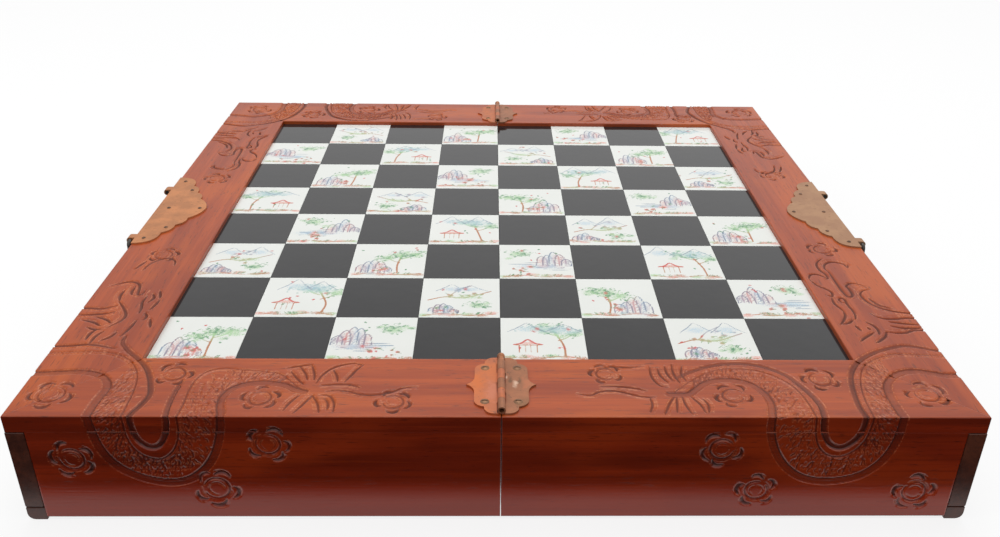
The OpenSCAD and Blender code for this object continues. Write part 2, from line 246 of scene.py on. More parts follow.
def smooth_path(points, spacing=1.6):
    """A curve through the points: between two of them a cubic whose slopes follow their neighbours."""
    points = np.asarray(points, float)
    before = np.vstack([2 * points[0] - points[1], points[:-1]])
    after = np.vstack([points[1:], 2 * points[-1] - points[-2]])
    slopes = (after - before) / 2
    pieces = []
    for start, end, slope, slope_end in zip(points[:-1], points[1:], slopes[:-1], slopes[1:]):
        t = np.linspace(0, 1, max(2, int(np.hypot(*(end - start)) / spacing)), endpoint=False)[:, None]
        pieces.append(start * (2 * t**3 - 3 * t**2 + 1) + slope * (t**3 - 2 * t**2 + t)
                      + end * (3 * t**2 - 2 * t**3) + slope_end * (t**3 - t**2))
    return np.vstack(pieces + [points[-1:]])


def cut(path, width, depth, tip=1.0):
    """Carves a groove with a round floor along the path. The tip is the share of width left at both ends."""
    share = np.linspace(0, 1, len(path))
    half = width / 2 * (tip + (1 - tip) * np.sin(math.pi * share) ** 0.7)
    for start, end, near, far in zip(path[:-1], path[1:], half[:-1], half[1:]):
        reach = max(near, far)
        low = np.minimum(start, end) - reach
        high = np.maximum(start, end) + reach
        c0, r0 = np.floor((low + map_reach) / map_cell).astype(int)
        c1, r1 = np.ceil((high + map_reach) / map_cell).astype(int) + 1
        if c0 < 0 or r0 < 0 or c1 > map_side or r1 > map_side:
            continue
        x = (np.arange(c0, c1) * map_cell - map_reach)[None, :]
        y = (np.arange(r0, r1) * map_cell - map_reach)[:, None]
        run = end - start
        t = np.clip(((x - start[0]) * run[0] + (y - start[1]) * run[1]) / max(run @ run, 1e-9), 0, 1)
        away = np.hypot(x - start[0] - t * run[0], y - start[1] - t * run[1])
        hollow = depth * np.clip(1 - (away / (near + t * (far - near) + 1e-6)) ** 2, 0, None)
        window = carved[r0:r1, c0:c1]
        np.maximum(window, hollow, out=window)


def beside(path, distance):
    """The path moved sideways by a distance, to its left as one walks along it."""
    way = np.gradient(path, axis=0)
    way /= np.hypot(way[:, 0], way[:, 1])[:, None] + 1e-9
    return path + distance * np.stack([-way[:, 1], way[:, 0]], axis=1)


def ring(centre, radius, start, sweep):
    """An arc round the centre, from the start angle through the sweep, both in degrees."""
    turn = np.radians(start + sweep * np.linspace(0, 1, max(6, int(abs(sweep) / 14))))
    return np.array(centre) + radius * np.stack([np.cos(turn), np.sin(turn)], axis=1)


def rosette(place, centre, radius, turn, chance):
    """A ring with broken arcs inside it, and curled petals round it: a thick comma and a thin arc beyond."""
    cut(place(ring(centre, 0.60 * radius, turn, 320)), 1.6, 0.95, 0.3)
    cut(place(ring(centre, 0.72 * radius, turn + 150, 200)), 1.1, 0.55, 0.2)
    for k in range(2):
        cut(place(ring(centre, 0.36 * radius, turn + 180 * k + chance.uniform(0, 60), 140)), 1.0, 0.6, 0.2)
    share = np.linspace(0, 1, 9)
    for k in range(5):
        start = turn + 72 * k + chance.uniform(-12, 12)
        way = np.radians(start + chance.uniform(42, 58) * share)
        curl = np.stack([np.cos(way), np.sin(way)], axis=1)
        reach = radius * (0.78 + 0.18 * np.sin(math.pi * share) + 0.16 * share)
        thick = chance.uniform(2.2, 3.0)
        cut(place(np.array(centre) + curl * reach[:, None]), thick, 1.0 + 0.4 * chance.random(), 0.1)
        reach = radius * (1.02 + 0.15 * np.sin(math.pi * share) - 0.10 * share)
        cut(place(np.array(centre) + curl * reach[:, None]), 1.1, 0.7, 0.15)


# The near dragons, in millimetres from the box's middle; past 240 from it a point is on the front.
# Each has a belly line, a back line and a smooth spine along its back, then its looser lines.
dragons = {"right": {
    "belly": [(84, -220.3), (94, -220.2), (99, -216), (104, -211), (110, -208.3), (118, -208), (125, -210),
              (130, -214.5), (133.5, -221), (134.5, -229), (133, -237), (132.5, -244), (134, -253),
              (138, -263), (144, -271.5), (152, -277.5), (162, -280), (172, -279.3), (181, -276.5),
              (188, -271), (193, -263.5), (196, -254), (197, -243), (196.5, -231), (196.8, -220),
              (199, -211.5), (204, -205), (211, -200.5), (219, -199.3), (227, -201.5), (234, -203.2),
              (248, -202.5)],
    "back": [(88, -218), (96, -210), (104, -203.5), (112, -199), (120, -197.5), (129, -198.3), (137, -201),
              (144, -206.5), (149, -213), (152, -221), (153.5, -231), (153.8, -241), (155, -251),
              (158, -258.5), (163, -263.3), (169, -264.2), (175, -261), (179.5, -254.5), (181.5, -246),
              (182, -236), (182.8, -224), (185, -213), (188, -204), (192.5, -195.5), (199, -189.5),
              (207, -185.5), (217, -183.5), (248, -186)],
    "spine": [(90, -206), (98, -200.5), (107, -196), (116, -193.3), (126, -192.5), (135, -194.3),
              (143, -198.8), (149.5, -205), (153.5, -213), (157, -222), (158.8, -231), (157.8, -240),
              (159, -249), (162.5, -255.5), (168, -258.3), (173.5, -255), (177, -248.5), (177.8, -240),
              (177.3, -231), (178.5, -221), (180.5, -211), (183.5, -202), (188.5, -193.5), (195, -187),
              (203, -181.5), (212, -177.5), (221, -175), (229, -176.3), (237, -179.2), (248, -180)],
    "neck": [[(248, -141), (236, -139), (228, -136), (222, -131), (219, -125), (218, -118), (220.5, -113),
         (226, -111)], [(232, -134.5), (226.5, -131.5), (223.5, -127.5), (221.5, -121)], [(216, -139.5),
         (217.5, -143), (221.5, -146), (228, -146.2), (236, -145), (248, -147)], [(217, -160.7),
         (222, -162), (228, -161.5), (235, -158.5), (248, -160)], [(226, -110), (222, -105), (217, -103.5),
         (213, -106.5), (213.6, -112), (213, -118), (209.6, -120), (208.4, -112), (208, -100), (207.8, -90),
         (206, -84.5)], [(206.2, -86), (208, -79.5), (212, -76.3), (217, -76.5), (221, -79), (222, -83),
         (223.5, -78.5)]],
    "whiskers": [[(209, -71), (204.5, -75.5), (202.6, -81), (202.8, -87), (204.6, -92), (204.6, -97),
         (202, -99)], [(192, -98), (194.5, -93), (199.5, -92.6), (204, -97.5)], [(192.5, -100), (195, -107),
         (199, -111), (201.2, -115), (199.7, -119.7), (197, -118.5)], [(199.2, -121), (198.4, -128),
         (200, -134), (201.2, -138.5)], [(201, -137), (200.4, -142), (198, -147), (194, -153)],
         [(205.5, -127.5), (203.2, -126.8), (202.7, -123), (205, -121.4), (206.3, -124), (206, -130),
         (206.7, -136), (206.3, -142), (204.5, -147.5)]],
    "mane": [[(195.5, -152.5), (199.5, -150.8), (203.2, -147)], [(202.3, -153.5), (203.8, -160)],
         [(209.5, -149.5), (212.6, -154), (213.5, -159), (212.3, -164)], [(208.7, -155.5), (209.3, -159)],
         [(207.5, -172.5), (211.5, -169), (215.4, -165), (217.4, -160.8)], [(199.5, -171), (203, -167),
         (210.5, -161)], [(223, -150), (231, -151.5), (240, -153)], [(222, -154.5), (229, -156.5),
         (240, -156)]],
    "tail": [[(77, -223), (73, -223), (67, -221.3), (61, -218.6), (55, -217.6), (49, -219), (44.5, -222),
         (38, -220.5)], [(78.8, -195.5), (78.2, -203), (79.5, -209.5), (82, -213.5), (86, -214)],
         [(74, -217.5), (67, -215), (58, -213.8), (50, -214)], [(82.5, -197), (83, -204), (86, -210.5)],
         [(86.5, -195), (86.7, -202), (89, -209)], [(90.5, -193.5), (90, -201), (92, -211)], [(95.5, -195),
         (94, -202), (95.5, -209)], [(76, -195), (68, -196.6), (60, -196.3), (50, -197.5)], [(74.5, -223.5),
         (74.7, -229), (72.5, -236)], [(91, -222), (91.5, -229), (93.5, -238)], [(87, -222), (83.5, -228),
         (79.5, -237.5)], [(95, -222), (99, -229), (100.5, -236.5)], [(101, -224), (103, -229.5),
         (102, -236)], [(88, -222.5), (87, -230), (86, -236)]],
    "rosettes": [(117, -221.5, 9, 20), (165.5, -207.5, 9, 80), (216, -220, 10, 150), (54.5, -202.5, 8, 10),
                 (110, -260, 10, 30), (130, -286, 9.5, 75), (211.5, -287, 10, 140), (213, -57.5, 9, 40)],
}, "left": {
    "belly": [(98, -219.5), (104, -217), (109, -213.5), (115, -211.6), (122, -211), (129, -212.3),
              (135, -216), (138.3, -222.5), (138, -230), (136, -237), (136, -244), (138, -254),
              (141.5, -264), (147, -272.5), (155, -279), (165, -281), (176, -278.7), (185, -274),
              (191.5, -268), (196, -259.5), (198.3, -249), (199.3, -238), (199, -227), (198, -219),
              (199, -212.5), (203.5, -206.5), (210, -203), (218, -201.8), (228, -202.7), (248, -204.5)],
    "back": [(97, -218.5), (103, -214.5), (108, -209), (114, -203.5), (123, -201.2), (133, -200),
              (143, -198.8), (151, -201), (155.5, -208), (156.8, -218), (156.5, -229), (157, -240),
              (157.5, -251), (161, -260.5), (167, -266), (173, -265.5), (179, -261), (182.3, -253),
              (183, -243), (183.3, -231), (184, -218), (186, -206.5), (190, -197.5), (196, -190),
              (204, -185), (214, -182.6), (226, -183), (248, -185.5)],
    "spine": [(163, -212), (163.8, -222), (163.6, -232), (162.6, -241), (164, -250.5), (168, -257.5),
              (172.5, -258.2), (177, -254), (179, -246.5), (178.8, -238), (176.2, -230), (174.8, -222),
              (177, -213), (180.5, -204), (185, -196), (191.5, -188.5), (199, -181), (204.5, -173.5),
              (205.5, -167)],
    "neck": [[(248, -137.5), (236, -137.3), (228, -138), (221, -134.5)], [(222, -129.5), (217, -137),
         (213.8, -143), (213, -148), (214.8, -153), (219.5, -159)], [(234, -111.5), (228, -107.5),
         (222, -105.5), (217, -108), (215, -114), (213.8, -121), (211.5, -121.5), (210.8, -116)],
         [(218, -111.5), (218.5, -117.5), (217, -122)], [(223, -116), (223.6, -122), (222, -129)],
         [(240, -145), (232, -144.5), (224, -143.5), (220, -141)], [(248, -178.5), (232, -177),
         (221, -175.5), (206.5, -179.5)]],
    "whiskers": [[(220.5, -91), (219.5, -84), (217, -79), (211, -74.5), (205, -77), (203, -84)],
         [(226, -90), (224.3, -84), (222, -78)], [(205.3, -151), (206.3, -158.5), (208.5, -167.5)],
         [(198, -149), (195, -158.5)], [(203, -142.5), (200.8, -146.5), (201.5, -151)], [(199, -127.5),
         (200, -134), (201.2, -139.5)], [(202, -116.5), (200.2, -122.5), (199.5, -126)], [(205, -120.5),
         (203, -125.5), (205, -131.5)], [(207.5, -123), (208.4, -130), (206.8, -137), (206.3, -143.5)]],
    "mane": [[(222.7, -174.5), (222, -167), (219.3, -162)], [(226, -171), (226, -165), (224, -160.5)],
         [(230, -158), (225, -160.3), (221, -160)], [(212, -163), (214, -168), (218, -172)], [(229, -147),
         (222, -150), (218.5, -154)], [(236, -150), (228, -153), (223, -157)]],
    "tail": [[(88, -219.5), (83, -218), (77, -219), (70, -221.8), (62, -221.8), (55, -219.5), (50, -216),
         (42, -214.5)], [(94, -212), (92.5, -205), (88.5, -198.5), (83, -194.8), (77, -193.2),
         (72, -194.8)], [(72, -194.8), (75, -199), (77.5, -205), (80, -211)], [(112, -198.5), (105, -196),
         (99, -194.8)], [(105, -196.5), (101, -203), (99, -209)], [(99, -195.5), (96.5, -203),
         (95.5, -209)], [(109, -201), (104, -208), (100, -213)], [(87, -199.5), (84.5, -205),
         (83.5, -210.5)], [(92, -213.8), (84, -212.9), (77, -213.2), (71, -216)], [(94, -222), (97, -229),
         (101, -237.5)], [(100, -221.5), (104, -228), (106, -235)], [(94, -222.5), (90.5, -229),
         (88.5, -237)], [(91, -222), (85.5, -223), (82.5, -229), (82, -236.5)], [(88, -224.5), (85.5, -229),
         (85, -235)]],
    "rosettes": [(119.5, -224, 9, 60), (168, -203.5, 9, 10), (223, -222, 10.5, 100), (54, -227.5, 8.5, 30),
                 (114, -257, 10, 80), (142.5, -285, 10.5, 20), (211, -266, 10, 50), (214, -70, 8.5, 70)],
}}


def corner(side_name, x_sign, y_sign, seed, scaled):
    """One corner's dragon, turned to that corner; its lines waver a little, as handwork does.

    Scale marks fill the body as far as the share that scaled gives."""
    chance = np.random.default_rng(seed)
    waver = chance.uniform(0, 6.28, 4)
    lines = dragons[side_name]

    def place(points):
        points = np.asarray(points, float)
        x, y = points[:, 0], points[:, 1]
        drift_x = 0.5 * np.sin(x / 17 + waver[0]) * np.sin(y / 23 + waver[1])
        drift_y = 0.5 * np.sin(x / 21 + waver[2]) * np.sin(y / 15 + waver[3])
        return np.stack([x_sign * (x + drift_x), y_sign * (y + drift_y)], axis=1)

    belly = smooth_path(lines["belly"])
    back = smooth_path(lines["back"])
    spine = smooth_path(lines["spine"])
    cut(place(belly), 4.4, 0.62)
    cut(place(beside(belly, 1.7)), 1.3, 1.15)
    cut(place(beside(belly, -1.8)), 0.9, 0.75)
    cut(place(back), 1.2, 1.0, 0.6)
    cut(place(beside(back, -1.9)), 0.9, 0.5, 0.6)
    cut(place(spine), 3.6, 0.9, 0.5)
    cut(place(beside(spine, -1.3)), 1.3, 1.4, 0.5)
    for spot in spine[6:-6:5]:
        heart = spot + chance.uniform(-0.5, 0.5, 2)
        nearest = back[np.argmin(np.hypot(*(back - heart).T))]
        if 3 < np.hypot(*(nearest - heart)) < 9 and chance.random() < 0.7:
            cut(place([heart + 0.45 * (nearest - heart), heart + 0.75 * (nearest - heart)]), 0.9, 0.5, 0.5)
    mark_rows = 170
    belly = belly[np.linspace(10, len(belly) - 8, mark_rows).astype(int)]
    back = back[np.linspace(10, len(back) - 8, mark_rows).astype(int)]
    for k in range(int(mark_rows * scaled)):
        for lane in np.arange(0.17, 0.86, 0.23) + (0.11 if k % 2 else 0):
            way = back[k] - belly[k]
            start = belly[k] + (lane + chance.normal(0, 0.04)) * way
            slant = way / np.hypot(*way) + chance.normal(0, 0.17, 2)
            end = start + chance.uniform(2.2, 5.2) * slant
            middle = (start + end) / 2 + 0.6 * np.array([-slant[1], slant[0]]) + chance.normal(0, 0.2, 2)
            cut(place(smooth_path([start, middle, end], 0.9)), 1.0, chance.uniform(0.45, 1.0), 0.2)
    loose_lines = {"neck": (2.6, 1.2, 2.7), "whiskers": (2.4, 1.25, 0), "mane": (2.5, 1.3, 0),
                   "tail": (1.9, 1.1, 2.0)}
    for name, (wide, deep, echo) in loose_lines.items():
        for line in lines[name]:
            path = smooth_path(line)
            cut(place(path), wide, deep, 0.3)
            if echo:
                cut(place(beside(path, echo)), 0.9, 0.5, 0.2)
    for x, y, radius, turn in lines["rosettes"]:
        rosette(place, (x, y), radius, turn, chance)


corner("right", 1, 1, 11, 0.86)
corner("left", -1, 1, 12, 0.80)
corner("left", 1, -1, 13, 0.80)
corner("right", -1, -1, 14, 0.86)


def depth_at(x, y):
    """The carving's depth in millimetres at points of the unfolded frame.

    It is the mean of the four cells round a point, each weighed by how near it lies."""
    column = np.clip((x + map_reach) / map_cell, 0, map_side - 1.001)
    row = np.clip((y + map_reach) / map_cell, 0, map_side - 1.001)
    c, r = column.astype(int), row.astype(int)
    fc, fr = column - c, row - r
    return ((carved[r, c] * (1 - fc) + carved[r, c + 1] * fc) * (1 - fr)
            + (carved[r + 1, c] * (1 - fc) + carved[r + 1, c + 1] * fc) * fr)


def grid_faces(rows, columns, wrap):
    """The quads between neighbours on a grid of points; wrap joins the last column to the first."""
    index = np.arange(rows * columns).reshape(rows, columns)
    if wrap:
        index = np.concatenate([index, index[:, :1]], axis=1)
    return np.stack([index[:-1, :-1], index[:-1, 1:], index[1:, 1:], index[1:, :-1]], axis=-1).reshape(-1, 4)


def tube(points):
    """A patch from rings of points, rows along and columns around, with a fan of triangles on each end."""
    rows, columns = points.shape[:2]
    faces = [grid_faces(rows, columns, True)]
    corners = points.reshape(-1, 3)
    around = np.arange(columns)
    for row in (0, rows - 1):
        rim = row * columns
        middle = np.full(columns, len(corners))
        corners = np.vstack([corners, points[row].mean(axis=0)])
        faces.append(np.stack([rim + around, rim + (around + 1) % columns, middle], axis=1))
    return corners, faces


def make(name, patches, finish, body, replaced=(), groove=None):
    """One object in metres out of patches in millimetres, each an array of points and its faces."""
    first = np.cumsum([0] + [len(points) for points, _ in patches])
    points = np.concatenate([points for points, _ in patches]) * mm
    blocks = [faces + start for (_, lists), start in zip(patches, first) for faces in lists]
    loops = np.concatenate([block.ravel() for block in blocks]).astype(np.int32)
    sizes = np.concatenate([np.full(len(block), block.shape[1]) for block in blocks])
    mesh = bpy.data.meshes.new(name)
    mesh.vertices.add(len(points))
    mesh.vertices.foreach_set("co", points.astype(np.float32).ravel())
    mesh.loops.add(len(loops))
    mesh.loops.foreach_set("vertex_index", loops)
    mesh.polygons.add(len(sizes))
    mesh.polygons.foreach_set("loop_start", np.concatenate([[0], np.cumsum(sizes)[:-1]]).astype(np.int32))
    mesh.update(calc_edges=True)
    shell = bmesh.new()
    shell.from_mesh(mesh)
    bmesh.ops.recalc_face_normals(shell, faces=shell.faces)
    shell.to_mesh(mesh)
    shell.free()
    if groove is not None:
        mesh.attributes.new("groove", "FLOAT", "POINT").data.foreach_set("value", groove.astype(np.float32))
    mesh.polygons.foreach_set("use_smooth", sizes > 3)
    mesh.materials.append(finish)
    piece = bpy.data.objects.new(name, mesh)
    bpy.context.scene.collection.objects.link(piece)
    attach(piece, body)
    if replaced:
        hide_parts(*replaced)
    return piece


def section(width, height, steps, radii, arc=4):
    """A rectangle's outline with round corners, anticlockwise from low left.

    Gives its points, spaced by a step along each side, and their outward directions."""
    points, ways = [], []
    inset = [(1, 1), (-1, 1), (-1, -1), (1, -1)]
    nearest_corner = 0.3
    spots = [(0, 0), (width, 0), (width, height), (0, height)]
    hearts = [np.array(spot) + radius * np.array(way) for spot, radius, way in zip(spots, radii, inset)]
    for k in range(4):
        turn = np.radians(180 + 90 * k + np.linspace(0, 90, arc + 1))
        out = np.stack([np.cos(turn), np.sin(turn)], axis=1)
        points.append(hearts[k] + radii[k] * out)
        ways.append(out)
        start, end = points[-1][-1], hearts[(k + 1) % 4] + radii[(k + 1) % 4] * out[-1]
        length = np.hypot(*(end - start))
        t = np.linspace(0, 1, max(2, int(length / steps[k])) + 1)[1:-1]
        t = np.concatenate([[nearest_corner / length], t, [1 - nearest_corner / length]])[:, None]
        points.append(start + t * (end - start))
        ways.append(np.repeat(out[-1:], len(t), axis=0))
    return np.vstack(points), np.vstack(ways)


def wood(name, grain, light, dark, glow, pore_and_groove_shade, rim_glint=None, gloss=0.34, scale=1.0, foot=None):
    """Hardwood under varnish, its figure drawn out along one axis, darkened in the carving's grooves by
    painted shade with some real stain.

    The grooves' rims are lightened by a painted highlight, and a foot is a paler colour within 20 mm of the
    table: a painted reflection of the table."""
    rim_glint = rim_glint or tuple(min(1, 1.5 * part + 0.05) for part in light)
    shader = Shader(bpy.data.materials.new(name))
    place = shader.place()
    drawn = tuple(0.06 if axis == grain else 1 for axis in "xyz")
    fine = tuple(0.02 if axis == grain else 1 for axis in "xyz")
    short = tuple(0.09 if axis == grain else 1 for axis in "xyz")
    patchy = tuple(0.35 if axis == grain else 1 for axis in "xyz")
    bands = shader.step(shader.noise(place, 95 * scale, 4, 0.6, drawn), 0.3, 0.72)
    cloud = shader.step(shader.noise(place, 26, 2, 0.5, patchy, (3, 7, 1)), 0.48, 0.66)
    fibre = shader.noise(place, 900, 3, 0.7, fine)
    streak = shader.noise(place, 420 * scale, 3, 0.65, fine, (1, 6, 4))
    pore = shader.step(shader.noise(place, 1100, 2, 0.6, short, (9, 2, 5)), 0.60, 0.70)
    colour = shader.mix(bands, dark, light)
    colour = shader.mix(cloud * 0.75, colour, glow)
    colour = shader.mix(shader.step(streak, 0.50, 0.36) * 0.45, colour, dark)
    colour = shader.mix(shader.step(streak, 0.56, 0.72) * 0.35, colour, glow)
    colour = shader.mix(fibre * 0.30, colour, dark)
    colour = shader.mix(pore * 0.55, colour, pore_and_groove_shade)
    # Painted reflection: the lowest 20 mm of a board is mixed toward the paler foot colour, standing in for
    # the pale table seen in the varnish.
    if foot:
        rise = shader.part(place, 2) + bands * 0.004
        colour = shader.mix((1 - shader.step(rise, 0.018, 0.030)) * 0.6, colour, foot)
    groove = shader.node("Attribute", {"attribute_name": "groove"}, output=2)
    # Painted highlight: the rims of the grooves are lightened toward a paler colour where the fibre is high,
    # for the glints on the carving's edges.
    rim = shader.step(groove, 0.01, 0.10) * (1 - shader.step(groove, 0.15, 0.45))
    colour = shader.mix(rim * shader.step(fibre, 0.42, 0.62) * 0.5, colour, rim_glint)
    # Painted shade with real stain: the deeper a groove, the nearer it comes to the dark colour.
    stain = shader.step(groove, 0.12, 1.25)
    colour = shader.mix(stain * 0.86, colour, pore_and_groove_shade)
    bump = shader.node("Bump", None, {"Height": fibre - pore * 0.6, "Strength": 0.12, "Distance": 0.0004})
    rough = fibre * 0.14 + stain * 0.2 + gloss - 0.07
    return shader.cover({"Base Color": colour, "Roughness": rough, "Normal": bump})


# Each last tone darkens the pores and, as painted shade with real stain, the carving's grooves.
frame_tones = {"light": (0.47, 0.080, 0.010), "dark": (0.29, 0.040, 0.006),
               "glow": (0.52, 0.098, 0.006), "pore_and_groove_shade": (0.085, 0.017, 0.008)}
wall_tones = {"light": (0.26, 0.020, 0.002), "dark": (0.135, 0.010, 0.001),
              "glow": (0.34, 0.034, 0.003), "pore_and_groove_shade": (0.035, 0.004, 0.002)}
# The rim colours are painted highlights for glints on the carving, and the walls' foot colour is a painted
# reflection of the pale table.
frame_across = wood("frame_wood_across", "x", rim_glint=(0.75, 0.30, 0.14), **frame_tones)
frame_along = wood("frame_wood_along", "y", rim_glint=(0.75, 0.30, 0.14), **frame_tones)
wall_wood = wood("wall_wood", "x", rim_glint=(0.50, 0.14, 0.06), gloss=0.18, foot=(0.42, 0.030, 0.004),
                 **wall_tones)
side_wood = wood("side_wood", "y", gloss=0.24, **wall_tones)
carve_step = 0.58
edge_steps = (6, 2.5, carve_step, carve_step)
rail_section = section(half_d - rail_inner, box_top - rail_low, edge_steps, (0.04, 0.4, 0.7, 0.6))
seam_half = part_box("right_front_rail")[0].x / mm


def carved_board(name, outline_and_ways, rows, starts, ends, low, lay, finish):
    """A section swept along a board, its outer and upper faces sunk by the map's depth.

    Each point of the section runs from its start to its end along the board, and moves in, against
    its outward direction, by the depth. Lay turns along, outward and height into the frame's x, y
    and z, and into the map's x and y."""
    outline, ways = outline_and_ways
    share = np.linspace(0, 1, rows)[:, None]
    along = starts + share * (ends - starts) + np.zeros(len(outline))
    shown = np.hypot(np.clip(ways[:, 1], 0, 1), np.clip(-ways[:, 0], 0, 1))
    out = half_d - outline[:, 0]
    height = low + outline[:, 1]
    folded = np.broadcast_to(out + (box_top - height), along.shape)
    depth = depth_at(*lay(along, folded)) * shown
    out = out + ways[:, 0] * depth
    height = height - ways[:, 1] * depth
    x, y = lay(along, out)
    groove = np.concatenate([depth.ravel(), [0, 0]])
    points = np.stack([x, y, height], axis=-1)
    return make("carved_" + name, [tube(points)], finish, name.split("_")[0] + "_half", [name], groove)


def darken_outside(rail, finish):
    """The outer and lower faces of a rail take the walls' darker colour."""
    ways = rail_section[1]
    hidden = (ways[:, 0] < -0.75) | (ways[:, 1] < -0.5)
    index = np.zeros(len(rail.data.polygons), np.int32)
    runs = (len(index) - 2 * len(hidden)) // len(hidden)
    index[:runs * len(hidden)] = np.tile(hidden, runs)
    rail.data.materials.append(finish)
    rail.data.polygons.foreach_set("material_index", index)


for side_name, x_sign in (("right", 1), ("left", -1)):
    mitre = half_w - rail_section[0][:, 0]
    for end_name, y_sign in (("front", -1), ("back", 1)):
        name = f"{side_name}_{end_name}_rail"
        lay = lambda along, out: (x_sign * along, y_sign * out)
        rows = int((half_w - seam_half) / carve_step)
        rail = carved_board(name, rail_section, rows, seam_half, mitre, rail_low, lay, frame_across)
        darken_outside(rail, wall_wood)
    lay = lambda along, out: (x_sign * out, along)
    rows = int(2 * half_d / (carve_step + 0.04))
    rail = carved_board(side_name + "_side_rail", rail_section, rows, -mitre, mitre, rail_low, lay,
                        frame_along)
    darken_outside(rail, side_wood)

# The front and back walls: one board per half, glued under the frame, with the dragons'
# bellies and rosettes carved on. Their lower edge is eased and clears the table a little.
wall_start, wall_end = (np.array(corner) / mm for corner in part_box("right_front_wall"))
wall_thick, wall_high = (wall_end - wall_start)[1:]
wall_section = section(wall_thick, wall_high, (4, 6, 4, carve_step), (1.0, 0.4, 0.2, 0.04))

for side_name, x_sign in (("right", 1), ("left", -1)):
    for end_name, y_sign in (("front", -1), ("back", 1)):
        lay = lambda along, out: (x_sign * along, y_sign * out)
        rows = int((wall_end[0] - wall_start[0]) / carve_step)
        carved_board(f"{side_name}_{end_name}_wall", wall_section, rows, wall_start[0], wall_end[0],
                     wall_start[2], lay, wall_wood)

# The case under the frame: stiles and sills close the ends round the drawers, and plainer
# boards make the seam walls, partitions, bottom and the panel that carries the squares.
end_tones = {"light": (0.110, 0.028, 0.014), "dark": (0.045, 0.011, 0.006),
             "glow": (0.14, 0.036, 0.015), "pore_and_groove_shade": (0.015, 0.005, 0.004)}
plain_tones = {"light": (0.36, 0.165, 0.080), "dark": (0.24, 0.100, 0.048),
               "glow": (0.40, 0.190, 0.090), "pore_and_groove_shade": (0.09, 0.035, 0.018)}
end_wood = wood("end_wood", "y", gloss=0.30, scale=1.4, **end_tones)
plain_wood = wood("plain_wood", "y", gloss=0.55, scale=0.8, **plain_tones)
plain_across = wood("plain_wood_across", "x", gloss=0.55, scale=0.8, **plain_tones)


def board(node, finish, body, radii, step=4.0):
    """A plain board in a node's place, its section swept along y with the edges eased.

    Near each end the section shrinks by ease times one less the root of 1 - (1 - t)^2, where t is
    the way from the end over ease: a quarter round."""
    low, high = (np.array(corner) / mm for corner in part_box(node))
    if low[0] < 0:
        radii = (radii[1], radii[0], radii[3], radii[2])
    outline, _ = section(high[0] - low[0], high[2] - low[2], (step,) * 4, radii)
    rows = max(3, int((high[1] - low[1]) / step))
    ease = min(radii[2], radii[3])
    long = high[1] - low[1]
    run = np.concatenate([[0, 0.3 * ease, ease], np.linspace(ease, long - ease, rows)[1:-1],
                          [long - ease, long - 0.3 * ease, long]])
    from_end = np.minimum(run, run[-1] - run).clip(0, ease) / ease
    shrink = ease * (1 - np.sqrt(np.clip(1 - (1 - from_end) ** 2, 0, 1)))
    middle = (outline.min(axis=0) + outline.max(axis=0)) / 2
    reach = (outline.max(axis=0) - outline.min(axis=0)) / 2
    rings = middle + (outline - middle) * (1 - shrink[:, None, None] / reach)
    points = np.stack([low[0] + rings[..., 0], np.broadcast_to((low[1] + run)[:, None], rings.shape[:2]),
                       low[2] + rings[..., 1]], axis=-1)
    make("eased_" + node, [tube(points)], finish, body, [node])


def finish_node(node, finish):
    """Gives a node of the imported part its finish."""
    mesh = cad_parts[node].data
    mesh.materials.clear()
    mesh.materials.append(finish)


for side_name in ("right", "left"):
    body = side_name + "_half"
    board(f"{side_name}_sill", end_wood, body, (0.5, 3.8, 0.4, 0.4), 1.5)
    board(f"{side_name}_stile", end_wood, body, (0.4, 0.4, 0.6, 0.6))
    board(f"{side_name}_seam_wall", side_wood, body, (0.8, 0.8, 0.4, 0.4))
    for part in ("partitions", "bottom"):
        finish_node(f"{side_name}_{part}", plain_wood)
    finish_node(f"{side_name}_deck", plain_across)

# The squares: glazed tiles laid edge to edge. The dark ones are bare black glaze; the white
# ones are painted in thin enamels with gardens, rocks, blossom and water, each one different.
black = Shader(bpy.data.materials.new("black_glaze"))
place = black.place()
cloud = black.noise(place, 60, 3)
colour = black.mix(cloud, (0.010, 0.010, 0.011), (0.018, 0.017, 0.018))
ripple = black.node("Bump", None, {"Height": black.noise(place, 130, 2), "Strength": 0.05, "Distance": 0.001})
black_glaze = black.cover({"Base Color": colour, "Roughness": cloud * 0.05 + 0.05, "IOR": 1.56,
                           "Normal": ripple})
for side_name in ("right", "left"):
    finish_node(f"{side_name}_dark_squares", black_glaze)

white = Shader(bpy.data.materials.new("painted_enamel"))
place = white.place()
paint = white.node("Attribute", {"attribute_name": "paint"})
amount = white.node("Attribute", {"attribute_name": "paint"}, output=3)
grit = white.noise(place, 1500, 3, 0.7)
shown = white.step(amount + (grit - 0.5) * 1.1, 0.38, 0.62)
glass = white.mix(white.noise(place, 40, 2), (0.74, 0.76, 0.72), (0.80, 0.81, 0.78))
colour = white.mix(shown, glass, paint)
enamel = white.cover({"Base Color": colour, "Roughness": shown * 0.18 + 0.12, "IOR": 1.46})

leaf_green = (0.40, 0.62, 0.34)
deep_green = (0.10, 0.28, 0.14)
blossom_red = (0.58, 0.08, 0.07)
blossom_pink = (0.78, 0.38, 0.32)
rock_grey = (0.16, 0.20, 0.28)
rock_mauve = (0.52, 0.40, 0.46)
water_blue = (0.42, 0.58, 0.70)
earth_brown = (0.48, 0.20, 0.10)
tile_cells = 66


